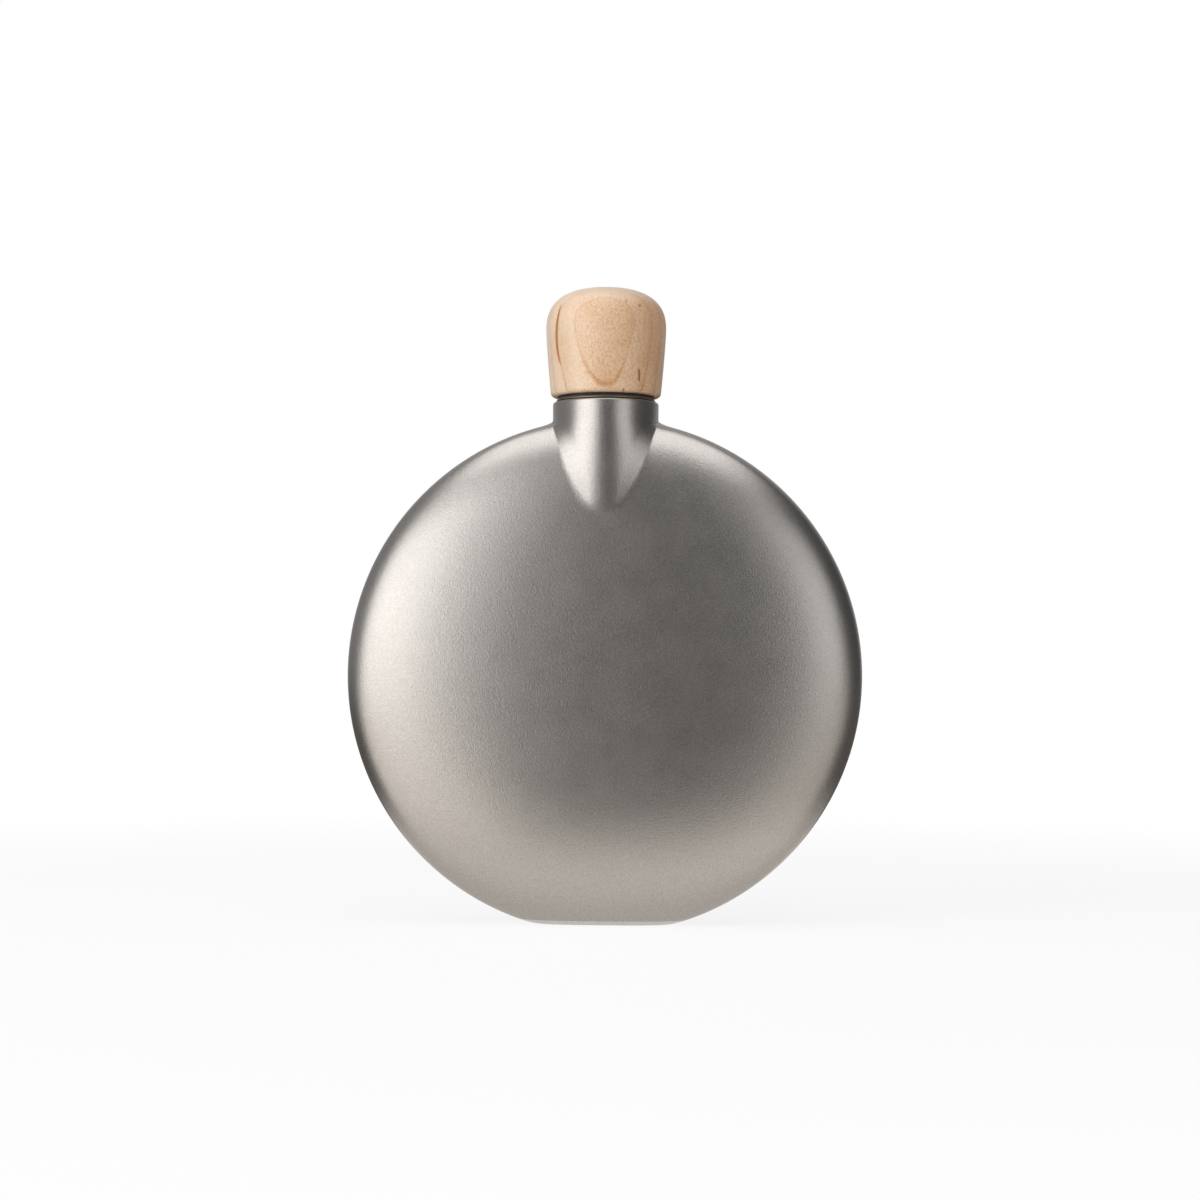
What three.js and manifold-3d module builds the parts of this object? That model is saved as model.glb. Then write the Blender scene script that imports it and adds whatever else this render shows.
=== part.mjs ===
// Round flat flask of sheet titanium with a screw-in stopper that has a turned wooden knob.
// Millimetres, +Z up. The origin is the middle of the flat foot, and the broad faces look along -Y and +Y.
import * as THREE from "three";
import { mergeVertices } from "three/addons/utils/BufferGeometryUtils.js";
import Module from "manifold-3d";

// Flask body: an oblate disc that a straight round neck grows out of
const bodyDiameter = 115;
const bodyThickness = 25.8;
const discPower = 2.5; // how far out the broad faces stay flat, where 2 is an ellipse
const depthPower = 3.5; // fullness of the disc's edge, where 2 is an ellipse
const footCut = 2.2; // height of the round edge that the flat foot takes off
const wall = 0.6;
const neckDiameter = 23.65;
const neckRise = 3.6; // rim of the neck above the top of the disc's circle
const facetTop = 0.6; // below the top of the disc, where the neck's sides turn into flat facets
const facetTurn = 1.2; // over which they turn
const facetSlope = 0.76; // of the facets at their top
const facetLength = 7.6; // down to where they have half of that slope
const facetFade = 1.5; // how quickly the slope falls off
const facetEnd = 66; // degrees round from the front, past which the sides run straight back
const crownGrowth = 0.36; // how the rounded crown between the facets widens on its way down
const shoulderBlend = 5; // reach of the fillet between neck and disc at the two sides
const creaseBlend = 0.2; // its reach at the front and back, where the pressing leaves a crease
const seamWidth = 1;

// Mouth ring, a turned sleeve that is welded into the neck
const weldHeight = 0.25;
const weldRecess = 0.15; // depth of the fine joint line below the outer surface
const lipLand = 0.1; // upright edge below the chamfer
const lipChamferWidth = 0.85;
const lipChamferHeight = 0.65;
const lipRound = 0.25; // small bevel at the inner edge of the lip
const sleeveClearance = 0.2;
const sleeveWall = 1.5;
const sleeveTail = 1.5; // plain sleeve below the thread

// Thread between the mouth ring and the plug
const pitch = 2.5;
const threadTurns = 2;
const threadDepth = 1;
const threadFlare = 0.3; // how much wider a ridge is at its root than halfway up
const threadLead = 2; // lip to the upper end of the ring's thread
const threadRunout = 0.12; // share of a turn over which a ridge sinks away at its ends
const radialClearance = 0.3;
const flankClearance = 0.15;

// Plug, gasket and insert nut
const plugTip = 1; // plain plug below its thread
const plugBevel = 0.6;
const gasketThickness = 1;
const gasketSetback = 0.3; // gasket edge inside the upper edge of the lip's chamfer
const gasketClearance = 0.3;
const gasketRound = 0.2;
const flangeThickness = 1.4;
const studDiameter = 6;
const studLength = 10;
const studBevel = 0.6;
const recessDiameter = 9;
const recessDepth = 6;
const insertClearance = 0.2;
const insertWall = 1.8;
const insertLength = 9;
const insertBarbs = 4;
const barbHeight = 0.45;

// Wooden knob
const knobGap = 0.3; // lip to the underside of the wood
const knobOverhang = 0.45; // underside past the neck
const knobFlare = 1.15; // widest part past the underside
const knobSkirt = 14.8; // underside to the widest part
const domeHeight = 9.5; // widest part to the top
const domePower = 2.6; // squareness of the dome, where 2 is an ellipse
const skirtPower = 1.25; // bow of the taper below the widest part
const knobEdgeRound = 0.9;
const pocketClearance = 0.2;
const pocketSpare = 0.8; // wood pocket past the end of the stud

// Fineness of the facets
const lowerRows = 8; // foot to the middle of the disc
const waistRows = 4; // middle of the disc to where the neck starts to show
const shoulderRows = 10; // from there to the top of the disc
const neckColumns = 5; // in a quarter of the neck that stands out of the disc
const wingColumns = 10; // in a quarter of the disc beside it
const creaseFrom = 18; // degrees round from the front, between which a column of corners follows the crease
const creaseTo = 66;
const turnedSides = 36;
const threadSteps = 36; // in one turn
const domeSteps = 11;
const skirtSteps = 6;
const roundSteps = 3;

const bodyRadius = bodyDiameter / 2;
const bodyHalf = bodyThickness / 2;
const neckRadius = neckDiameter / 2;
const bodyCentre = bodyRadius - footCut; // height of the disc's centre
const neckTop = bodyCentre + bodyRadius + neckRise;

const sleeveOuter = neckRadius - wall - sleeveClearance;
const bore = sleeveOuter - sleeveWall;
const flangeBottom = neckTop + weldHeight;
const lipHeight = flangeBottom + lipLand + lipChamferHeight;
const lipOuter = neckRadius - lipChamferWidth;
const threadLength = threadTurns * pitch;
const sleeveBottom = lipHeight - threadLead - threadLength - sleeveTail;

const ridgeWidth = pitch / 2 - flankClearance; // halfway up a ridge
const ridgeRoot = sleeveWall / 4; // how deep a ridge is rooted in its wall
const plugCore = bore - threadDepth - radialClearance;
const plugThreadStart = lipHeight - threadLead - threadLength - pitch / 2;
const plugBottom = plugThreadStart - ridgeWidth / 2 - threadFlare - plugTip;
const gasketTop = lipHeight + gasketThickness;
const gasketOuter = lipOuter - gasketSetback;
const flangeTop = gasketTop + flangeThickness;
const studRadius = studDiameter / 2;
const insertBore = studRadius + insertClearance;
const insertOuter = insertBore + insertWall;

const knobBottom = lipHeight + knobGap;
const knobFootRadius = neckRadius + knobOverhang;
const knobRadius = knobFootRadius + knobFlare;
const knobWidest = knobBottom + knobSkirt;
const pocketRadius = gasketOuter + pocketClearance;
const pocketBore = insertOuter + barbHeight + pocketClearance;
const pocketTop = flangeTop + Math.max(studLength, insertLength) + pocketSpare;

const titanium = { color: 0x8f8a85, roughness: 0.45, metalness: 1 };
const turnedTitanium = { color: 0x99948f, roughness: 0.3, metalness: 1 };
const maple = { color: 0xe0bd97, roughness: 0.55, metalness: 0 };
const silicone = { color: 0xd9d6cf, roughness: 0.6, metalness: 0 };
const brass = { color: 0xb5924c, roughness: 0.35, metalness: 1 };

const wasm = await Module();
wasm.setup();

// A closed geometry as a solid that can be joined and cut.
function solidOf(geometry) {
  geometry.deleteAttribute("normal");
  geometry.deleteAttribute("uv");
  const merged = mergeVertices(geometry, 1e-4);
  const corners = merged.index.array;
  const kept = [];
  for (let i = 0; i < corners.length; i += 3) {
    const [a, b, c] = corners.slice(i, i + 3);
    if (a !== b && b !== c && c !== a) kept.push(a, b, c);
  }
  return new wasm.Manifold(
    new wasm.Mesh({
      numProp: 3,
      vertProperties: new Float32Array(merged.attributes.position.array),
      triVerts: new Uint32Array(kept),
    }),
  );
}

function geometryOf(solid) {
  const mesh = solid.getMesh();
  const geometry = new THREE.BufferGeometry();
  geometry.setAttribute("position", new THREE.BufferAttribute(mesh.vertProperties, 3));
  geometry.setIndex(new THREE.BufferAttribute(mesh.triVerts, 1));
  geometry.computeVertexNormals();
  return geometry;
}

function gridGeometry(points, triangles) {
  const geometry = new THREE.BufferGeometry();
  geometry.setAttribute("position", new THREE.Float32BufferAttribute(points.flat(), 3));
  geometry.setIndex(triangles);
  return geometry;
}

// A profile of [radius, height] points, turned about Z. A ring's profile closes on itself.
function turned(profile) {
  const points = profile.map(([radius, height]) => new THREE.Vector2(radius, height));
  return solidOf(new THREE.LatheGeometry(points, turnedSides).rotateX(Math.PI / 2));
}

function boxSolid(min, max) {
  const size = max.map((value, axis) => value - min[axis]);
  const middle = max.map((value, axis) => (value + min[axis]) / 2);
  return solidOf(new THREE.BoxGeometry(...size).translate(...middle));
}

function smoothMax(a, b, reach) {
  const near = Math.max(reach - Math.abs(a - b), 0) / reach;
  return Math.max(a, b) + (near * near * reach) / 4;
}

// Where a rising function passes zero, between low and high.
function crossing(rising, low, high) {
  for (let i = 0; i < 50; i++) {
    const middle = (low + high) / 2;
    if (rising(middle) < 0) low = middle;
    else high = middle;
  }
  return (low + high) / 2;
}

// The flask's form, drawn in by inset on all sides. A level section is the union of the disc's oval and the
// neck's section. Angles run from the front, -Y, round to the sides.
function flaskForm(inset) {
  const radius = bodyRadius - inset;
  const half = bodyHalf - inset;
  const neck = neckRadius - inset;

  const disc = (angle, height) => {
    const rise = THREE.MathUtils.clamp(height - bodyCentre, -radius, radius);
    const beyond = (far) => {
      const across = Math.hypot(far * Math.sin(angle), rise) / radius;
      const deep = Math.abs(far * Math.cos(angle)) / half;
      return across ** discPower + deep ** depthPower - 1;
    };
    return crossing(beyond, 0, radius);
  };

  // The neck is round at the top. Further down it is a rounded crown between two flat facets.
  const stem = (angle, height) => {
    if (height <= bodyCentre) return 0;
    const turn = Math.atan2(Math.abs(Math.sin(angle)), Math.abs(Math.cos(angle)));
    const depth = bodyCentre + bodyRadius - facetTop - height;
    if (depth <= 0) return neck;
    const slope = facetSlope / (1 + (depth / facetLength) ** facetFade);
    const tilt = Math.atan(Math.hypot(slope, facetTurn / depth));
    const back = crownGrowth * depth; // the crown's centre behind the neck's axis
    const crown = neck + back;
    const facetStart = Math.atan2(crown * Math.sin(tilt), crown * Math.cos(tilt) - back);
    if (turn < facetStart) return Math.sqrt(crown ** 2 - (back * Math.sin(turn)) ** 2) - back * Math.cos(turn);
    const end = Math.min(turn, Math.max(THREE.MathUtils.degToRad(facetEnd), tilt));
    const flat = (crown - back * Math.cos(tilt)) / Math.cos(end - tilt);
    return Math.max((flat * Math.sin(end)) / Math.sin(turn), neck);
  };

  const reach = (angle, height) => {
    const fillet = (shoulderBlend - creaseBlend) * Math.abs(Math.sin(angle)) ** 30;
    return smoothMax(disc(angle, height), stem(angle, height), creaseBlend + fillet);
  };

  // Angle at which the neck's section meets the disc's oval, between the front and the side.
  const creaseAngle = (height) => {
    const least = THREE.MathUtils.degToRad(creaseFrom);
    const most = THREE.MathUtils.degToRad(creaseTo);
    return crossing((angle) => disc(angle, height) - stem(angle, height), least, most);
  };

  const quarterAngles = (height) => {
    const crease = creaseAngle(height);
    const angles = [];
    for (let i = 0; i < neckColumns; i++) angles.push((crease * i) / neckColumns);
    const start = Math.atan2(half * Math.sin(crease), radius * Math.cos(crease));
    for (let i = 0; i <= wingColumns; i++) {
      const turn = start + ((Math.PI / 2 - start) * i) / wingColumns;
      angles.push(Math.atan2(radius * Math.sin(turn), half * Math.cos(turn)));
    }
    return angles;
  };

  const ring = (height) => {
    const quarter = quarterAngles(height);
    const back = quarter.slice(0, -1).reverse();
    const right = [...quarter, ...back.map((angle) => Math.PI - angle)];
    const left = right.slice(1, -1).reverse();
    const angles = [...right, ...left.map((angle) => 2 * Math.PI - angle)];
    return angles.map((angle) => {
      const far = reach(angle, height);
      return [far * Math.sin(angle), -far * Math.cos(angle), height];
    });
  };

  // Height at which the neck starts to show at the front.
  const neckStart = crossing((height) => neck - disc(0, height), bodyCentre, bodyCentre + radius);
  return { radius, neckStart, ring };
}

// Level rings from bottom to top, closer together from the foot of the neck upwards.
function flaskSolid(inset, bottom, top) {
  const form = flaskForm(inset);
  const lowest = Math.asin((bottom - bodyCentre) / form.radius);
  const neckStart = Math.asin((form.neckStart - bodyCentre) / form.radius);
  const heights = [bottom];
  const climb = (from, to, rows) => {
    for (let i = 1; i <= rows; i++) {
      const turn = from + ((to - from) * i) / rows;
      heights.push(bodyCentre + form.radius * Math.sin(turn));
    }
  };
  climb(lowest, 0, lowerRows);
  climb(0, neckStart, waistRows);
  climb(neckStart, Math.PI / 2, shoulderRows);
  heights.push(top);
  return loft(heights.map(form.ring));
}

// Rings of equally many points, one above the other, closed at both ends.
function loft(rings) {
  const count = rings[0].length;
  const points = rings.flat();
  const triangles = [];
  for (let row = 0; row + 1 < rings.length; row++) {
    for (let i = 0; i < count; i++) {
      const a = row * count + i;
      const b = row * count + ((i + 1) % count);
      triangles.push(a, b, b + count, a, b + count, a + count);
    }
  }
  const bottom = points.push([0, 0, rings[0][0][2]]) - 1;
  const top = points.push([0, 0, rings.at(-1)[0][2]]) - 1;
  const last = (rings.length - 1) * count;
  for (let i = 0; i < count; i++) {
    const next = (i + 1) % count;
    triangles.push(bottom, next, i, top, last + i, last + next);
  }
  return solidOf(gridGeometry(points, triangles));
}

// A helical ridge that grows from root to crest and sinks below the root at both ends.
function threadRidge(root, crest, start) {
  const outward = Math.sign(crest - root);
  const buried = root - outward * ridgeRoot;
  const steps = Math.round(threadSteps * threadTurns);
  const points = [];
  const triangles = [];
  for (let i = 0; i <= steps; i++) {
    const turns = (threadTurns * i) / steps;
    const shown = Math.min(1, Math.min(turns, threadTurns - turns) / threadRunout);
    const tip = THREE.MathUtils.lerp((root + buried) / 2, crest, shown);
    const angle = 2 * Math.PI * turns;
    const middle = start + pitch * turns;
    const base = ridgeWidth / 2 + threadFlare / 2;
    const edge = ridgeWidth / 2 - threadFlare / 2;
    const corners = [[buried, -base], [tip, -edge], [tip, edge], [buried, base]];
    for (const [radius, rise] of corners)
      points.push([radius * Math.cos(angle), radius * Math.sin(angle), middle + rise]);
  }
  const face = (a, b, c) => triangles.push(...(outward > 0 ? [a, b, c] : [a, c, b]));
  for (let i = 0; i < steps; i++) {
    for (let side = 0; side < 4; side++) {
      const a = 4 * i + side;
      const b = 4 * i + ((side + 1) % 4);
      face(a, a + 4, b + 4);
      face(a, b + 4, b);
    }
  }
  const end = 4 * steps;
  face(0, 1, 2);
  face(0, 2, 3);
  face(end, end + 2, end + 1);
  face(end, end + 3, end + 2);
  return solidOf(gridGeometry(points, triangles));
}

function makeMouthRing() {
  const sleeve = turned([
    [bore, sleeveBottom],
    [sleeveOuter, sleeveBottom],
    [sleeveOuter, flangeBottom],
    [neckRadius, flangeBottom],
    [neckRadius, flangeBottom + lipLand],
    [lipOuter, lipHeight],
    [bore + lipRound, lipHeight],
    [bore, lipHeight - lipRound],
    [bore, sleeveBottom],
  ]);
  return sleeve.add(threadRidge(bore, bore - threadDepth, lipHeight - threadLead - threadLength));
}

function makeMouthWeld() {
  const inside = sleeveOuter + sleeveClearance / 2;
  const outside = neckRadius - weldRecess;
  return turned([
    [inside, neckTop],
    [outside, neckTop],
    [outside, flangeBottom],
    [inside, flangeBottom],
    [inside, neckTop],
  ]);
}

function makePlug() {
  const core = turned([
    [0, plugBottom + recessDepth],
    [recessDiameter / 2, plugBottom + recessDepth],
    [recessDiameter / 2, plugBottom],
    [plugCore - plugBevel, plugBottom],
    [plugCore, plugBottom + plugBevel],
    [plugCore, gasketTop],
    [gasketOuter, gasketTop],
    [gasketOuter, flangeTop],
    [studRadius, flangeTop],
    [studRadius, flangeTop + studLength - studBevel],
    [studRadius - studBevel, flangeTop + studLength],
    [0, flangeTop + studLength],
  ]);
  return core.add(threadRidge(plugCore, plugCore + threadDepth, plugThreadStart));
}

function makeGasket() {
  const inside = plugCore + gasketClearance;
  return turned([
    [inside, lipHeight],
    [gasketOuter - gasketRound, lipHeight],
    [gasketOuter, lipHeight + gasketRound],
    [gasketOuter, gasketTop - gasketRound],
    [gasketOuter - gasketRound, gasketTop],
    [inside, gasketTop],
    [inside, lipHeight],
  ]);
}

// Insert nut with a row of barbs that grip the wood.
function makeInsert() {
  const step = insertLength / insertBarbs;
  const profile = [[insertBore, flangeTop]];
  for (let i = 0; i < insertBarbs; i++) {
    profile.push([insertOuter + barbHeight, flangeTop + step * i]);
    profile.push([insertOuter, flangeTop + step * (i + 1)]);
  }
  profile.push([insertBore, flangeTop + insertLength], [insertBore, flangeTop]);
  return turned(profile);
}

// Outline of the knob, from the underside's edge up to the top of the dome.
function knobProfile() {
  const skirtRadius = (drop) => knobRadius - knobFlare * (drop / knobSkirt) ** skirtPower;
  const edgeTop = skirtRadius(knobSkirt - knobEdgeRound);
  const profile = [];
  for (let i = 0; i < roundSteps; i++) {
    const turn = (Math.PI / 2) * (i / roundSteps);
    const radius = edgeTop - knobEdgeRound * (1 - Math.sin(turn));
    profile.push([radius, knobBottom + knobEdgeRound * (1 - Math.cos(turn))]);
  }
  for (let i = 0; i < skirtSteps; i++) {
    const drop = (knobSkirt - knobEdgeRound) * (1 - i / skirtSteps);
    profile.push([skirtRadius(drop), knobWidest - drop]);
  }
  for (let i = 0; i < domeSteps; i++) {
    const turn = (Math.PI / 2) * (i / domeSteps);
    const radius = knobRadius * Math.cos(turn) ** (2 / domePower);
    profile.push([radius, knobWidest + domeHeight * Math.sin(turn) ** (2 / domePower)]);
  }
  profile.push([0, knobWidest + domeHeight]);
  return profile;
}

function makeKnob() {
  return turned([
    [0, pocketTop],
    [pocketBore, pocketTop],
    [pocketBore, flangeTop],
    [pocketRadius, flangeTop],
    [pocketRadius, knobBottom],
    ...knobProfile(),
  ]);
}

const flask = new THREE.Group();

function addPiece(name, solid, finish) {
  const mesh = new THREE.Mesh(geometryOf(solid), new THREE.MeshStandardMaterial(finish));
  mesh.name = name;
  flask.add(mesh);
}

// The body's sheet is hollow up through the neck. The seam's weld runs round it between the two halves.
const over = 1; // how far a cutting solid passes what it cuts
const outside = flaskSolid(0, 0, neckTop);
const inside = flaskSolid(wall, wall, neckTop + over);
const sheet = outside.subtract(inside);
const seam = seamWidth / 2;
const wide = bodyRadius + over;
const front = boxSolid([-wide, -wide, -over], [wide, -seam, neckTop + over]);
const middle = boxSolid([-wide, -seam, -over], [wide, seam, neckTop + over]);
const rear = boxSolid([-wide, seam, -over], [wide, wide, neckTop + over]);

addPiece("front_shell", sheet.intersect(front), titanium);
addPiece("rear_shell", sheet.intersect(rear), titanium);
addPiece("seam_weld", sheet.intersect(middle), titanium);
addPiece("mouth_ring", makeMouthRing(), turnedTitanium);
addPiece("mouth_weld", makeMouthWeld(), titanium);
addPiece("cap_plug", makePlug(), turnedTitanium);
addPiece("lip_gasket", makeGasket(), silicone);
addPiece("knob_insert", makeInsert(), brass);
addPiece("wood_knob", makeKnob(), maple);

export default flask;
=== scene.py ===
import math

import bpy
import numpy as np
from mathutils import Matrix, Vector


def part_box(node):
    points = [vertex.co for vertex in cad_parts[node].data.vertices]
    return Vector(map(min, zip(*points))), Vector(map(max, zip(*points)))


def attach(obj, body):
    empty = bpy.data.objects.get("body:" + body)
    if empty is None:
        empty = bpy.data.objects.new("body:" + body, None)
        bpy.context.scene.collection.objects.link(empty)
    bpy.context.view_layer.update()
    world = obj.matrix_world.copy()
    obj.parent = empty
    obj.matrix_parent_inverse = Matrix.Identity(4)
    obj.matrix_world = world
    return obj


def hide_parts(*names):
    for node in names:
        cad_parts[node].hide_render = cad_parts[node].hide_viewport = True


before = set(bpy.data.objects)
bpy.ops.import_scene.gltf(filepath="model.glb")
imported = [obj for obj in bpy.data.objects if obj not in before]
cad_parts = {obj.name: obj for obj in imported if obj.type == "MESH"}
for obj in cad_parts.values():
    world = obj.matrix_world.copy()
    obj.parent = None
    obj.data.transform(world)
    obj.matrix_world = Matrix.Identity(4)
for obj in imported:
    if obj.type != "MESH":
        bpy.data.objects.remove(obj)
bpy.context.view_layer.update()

mm = 0.001


def levels(node):
    low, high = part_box(node)
    return {"bottom": low.z, "top": high.z, "radius": high.x, "front": low.y, "back": high.y}


# mesh helpers

def makeMesh(name, points, faces, kinds):
    # corners that fall on each other are joined, so every piece is one closed skin
    near = 1e-6
    keys = np.round(np.asarray(points) / near).astype(np.int64)
    _, first, index = np.unique(keys, axis=0, return_index=True, return_inverse=True)
    index = index.reshape(-1)
    rings = []
    marks = []
    for face, kind in zip(faces, kinds):
        ring = [int(index[v]) for v in face]
        ring = [v for i, v in enumerate(ring) if v != ring[i - 1]]
        if len(set(ring)) > 2:
            rings.append(ring)
            marks.append(kind)
    mesh = bpy.data.meshes.new(name)
    mesh.from_pydata(np.asarray(points)[first].tolist(), [], rings)
    mesh.update()
    return mesh, np.array(marks)


def placePiece(name, mesh, body, node, material):
    piece = bpy.data.objects.new(name, mesh)
    bpy.context.scene.collection.objects.link(piece)
    mesh.materials.append(material)
    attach(piece, body)
    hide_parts(node)
    print("made", name, len(mesh.polygons), "faces")
    return piece


def gridFaces(rows, columns, wrapRows=False, wrapColumns=False):
    faces = []
    for i in range(rows if wrapRows else rows - 1):
        for j in range(columns if wrapColumns else columns - 1):
            k = (i + 1) % rows
            n = (j + 1) % columns
            faces.append((i * columns + j, i * columns + n, k * columns + n, k * columns + j))
    return faces


def roundCorners(corners, steps=4):
    # each corner is (radius, height, fillet)
    profile = []
    for i, (radius, height, fillet) in enumerate(corners):
        here = np.array((radius, height))
        if fillet == 0:
            profile.append((radius, height))
            continue
        back = np.array(corners[i - 1][:2]) - here
        ahead = np.array(corners[(i + 1) % len(corners)][:2]) - here
        back /= np.linalg.norm(back)
        ahead /= np.linalg.norm(ahead)
        half = math.acos(float(np.clip(back @ ahead, -1, 1))) / 2
        middle = here + (back + ahead) / np.linalg.norm(back + ahead) * fillet / math.sin(half)
        start = here + back * fillet / math.tan(half) - middle
        turn = math.pi - 2 * half
        if start[0] * ahead[1] - start[1] * ahead[0] < 0:
            turn = -turn
        for k in range(steps + 1):
            c = math.cos(turn * k / steps)
            s = math.sin(turn * k / steps)
            profile.append((middle[0] + c * start[0] - s * start[1], middle[1] + s * start[0] + c * start[1]))
    return profile


def upright(radius, bottom, top, rows):
    return [(radius, bottom + (top - bottom) * i / rows) for i in range(rows + 1)]


def turnedMesh(name, profile, sides, closed, ridge=None, sharp=38):
    rows = np.array(profile)
    turn = 2 * np.pi * np.arange(sides) / sides
    radius = np.repeat(rows[:, :1], sides, 1)
    height = np.repeat(rows[:, 1:], sides, 1)
    if ridge:
        threaded = np.abs(radius - ridge["root"]) < 1e-7
        lift = ridgeLift(ridge, np.repeat(turn[None, :], len(rows), 0), height)
        radius = radius + np.where(threaded, lift, 0)
    points = np.stack([radius * np.cos(turn), radius * np.sin(turn), height], -1).reshape(-1, 3)
    faces = gridFaces(len(rows), sides, closed, True)
    mesh, _ = makeMesh(name, points, faces, [0] * len(faces))
    mesh.shade_smooth()
    mesh.set_sharp_from_angle(angle=math.radians(sharp))
    return mesh


def smoothStep(value):
    value = np.clip(value, 0, 1)
    return value * value * (3 - 2 * value)


def ridgeLift(ridge, turn, height):
    # height of a rounded helical ridge over its root, at every corner of the grid
    lift = np.zeros_like(height)
    for lap in range(math.ceil(ridge["turns"]) + 1):
        laps = turn / (2 * np.pi) + lap
        away = np.abs(height - ridge["start"] - ridge["pitch"] * laps)
        crown = smoothStep((ridge["baseHalf"] - away) / (ridge["baseHalf"] - ridge["crestHalf"]))
        ends = smoothStep(np.minimum(laps, ridge["turns"] - laps) / ridge["runout"])
        lift = np.maximum(lift, crown * ends)
    return lift * ridge["depth"]


# node helpers

def addNode(tree, kind, inputs=None, **settings):
    made = tree.nodes.new(kind)
    for key, value in settings.items():
        setattr(made, key, value)
    for key, value in (inputs or {}).items():
        if isinstance(value, bpy.types.NodeSocket):
            tree.links.new(value, made.inputs[key])
        else:
            made.inputs[key].default_value = value
    return made


def calc(tree, operation, first, second=0.0, third=0.0):
    made = addNode(tree, "ShaderNodeMath", {0: first, 1: second, 2: third}, operation=operation)
    return made.outputs[0]


def spread(tree, value, low, high, toLow, toHigh):
    inputs = {"Value": value, "From Min": low, "From Max": high, "To Min": toLow, "To Max": toHigh}
    return addNode(tree, "ShaderNodeMapRange", inputs, interpolation_type="SMOOTHSTEP").outputs["Result"]


def blendColour(tree, share, first, second, kind="MIX"):
    made = addNode(tree, "ShaderNodeMix", data_type="RGBA", blend_type=kind)
    for socket, value in ((made.inputs[0], share), (made.inputs[6], first), (made.inputs[7], second)):
        if isinstance(value, bpy.types.NodeSocket):
            tree.links.new(value, socket)
        elif isinstance(value, tuple):
            socket.default_value = (*value, 1)
        else:
            socket.default_value = value
    return made.outputs[2]


def noise(tree, vector, scale, detail=2.0, roughness=0.5, stretch=None):
    if stretch:
        vector = addNode(tree, "ShaderNodeMapping", {"Vector": vector, "Scale": stretch}).outputs[0]
    inputs = {"Vector": vector, "Scale": scale, "Detail": detail, "Roughness": roughness}
    return addNode(tree, "ShaderNodeTexNoise", inputs).outputs[0]


def startMaterial(name):
    material = bpy.data.materials.new(name)
    material.use_nodes = True
    tree = material.node_tree
    place = addNode(tree, "ShaderNodeTexCoord").outputs["Object"]
    axes = addNode(tree, "ShaderNodeSeparateXYZ", {0: place}).outputs
    return material, tree, tree.nodes["Principled BSDF"], place, axes


def plug(tree, shader, **links):
    for key, socket in links.items():
        tree.links.new(socket, shader.inputs[key.replace("_", " ")])


def bumpOf(tree, height, strength, depth, normal=None):
    inputs = {"Height": height, "Strength": strength, "Distance": depth}
    if normal:
        inputs["Normal"] = normal
    return addNode(tree, "ShaderNodeBump", inputs).outputs[0]


# finishes

blastedTitanium = {
    "dark": (0.49, 0.463, 0.438),
    "light": (0.59, 0.558, 0.529),
    "grain": 3000,  # specks per metre
    "grainDepth": 0.062 * mm,
    "lineDepth": 0.25,  # tool marks on the band, as a share of the grain's depth
    "roughness": (0.30, 0.32),
    "cloud": 140,
    "bandWidth": 2.2 * mm,  # turned band below the rim of the neck
    "bandSoft": 0.4 * mm,  # how softly it ends
    "bandRoughness": 0.34,
    "bandMarks": (150, 150, 16000),  # tool marks per metre across and along the neck
}


def makeBlastedTitanium():
    look = blastedTitanium
    material, tree, shader, place, axes = startMaterial("blasted titanium")
    grain = noise(tree, place, look["grain"], 2.0, 0.6)
    cloud = noise(tree, place, look["cloud"], 3.0)
    colour = blendColour(tree, spread(tree, grain, 0.32, 0.68, 0.0, 1.0), look["dark"], look["light"])
    edge = neckTop - look["bandWidth"]
    band = spread(tree, axes[2], edge - look["bandSoft"], edge + look["bandSoft"], 0.0, 0.8)
    rough = spread(tree, cloud, 0.35, 0.65, *look["roughness"])
    rough = addNode(tree, "ShaderNodeMix", {0: band, 2: rough, 3: look["bandRoughness"]}).outputs[0]
    lines = noise(tree, place, 1.0, 2.0, 0.5, look["bandMarks"])
    lines = calc(tree, "MULTIPLY", lines, look["lineDepth"])
    height = addNode(tree, "ShaderNodeMix", {0: band, 2: grain, 3: lines}).outputs[0]
    normal = bumpOf(tree, height, 0.7, look["grainDepth"])
    shader.inputs["Metallic"].default_value = 1.0
    plug(tree, shader, Base_Color=colour, Roughness=rough, Normal=normal)
    return material


# turned titanium for the mouth ring and plug: turned marks are the finish, while the tone darker than the
# blasted body is painted shade for the ring's lip under the knob
turnedTitaniumPaintedShade = {
    "dark": (0.30, 0.283, 0.266),
    "light": (0.42, 0.396, 0.372),
    "lines": 9000,  # tool marks per metre
    "lineDepth": 0.010 * mm,
    "cloud": 300,
    "roughness": (0.40, 0.50),
}


def makeTurnedTitaniumPaintedShade():
    look = turnedTitaniumPaintedShade
    material, tree, shader, place, axes = startMaterial("turned titanium")
    squares = [calc(tree, "POWER", axes[i], 2.0) for i in (0, 1)]
    radius = calc(tree, "SQRT", calc(tree, "ADD", *squares))
    around = calc(tree, "ARCTAN2", axes[1], axes[0])
    inputs = {
        0: calc(tree, "MULTIPLY", radius, look["lines"]),
        1: calc(tree, "MULTIPLY", axes[2], look["lines"]),
        2: calc(tree, "MULTIPLY", around, 1.5),
    }
    cut = addNode(tree, "ShaderNodeCombineXYZ", inputs).outputs[0]
    marks = noise(tree, cut, 1.0, 2.0, 0.6)
    colour = blendColour(tree, spread(tree, marks, 0.3, 0.7, 0.0, 1.0), look["dark"], look["light"])
    rough = spread(tree, noise(tree, place, look["cloud"], 2.0), 0.3, 0.7, *look["roughness"])
    normal = bumpOf(tree, marks, 0.5, look["lineDepth"])
    shader.inputs["Metallic"].default_value = 1.0
    plug(tree, shader, Base_Color=colour, Roughness=rough, Normal=normal)
    return material


# weld bead under the ring's lip: the bead and its ripples are real, its near-black tone is painted shade for
# the shadowed line between ring and neck
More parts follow.
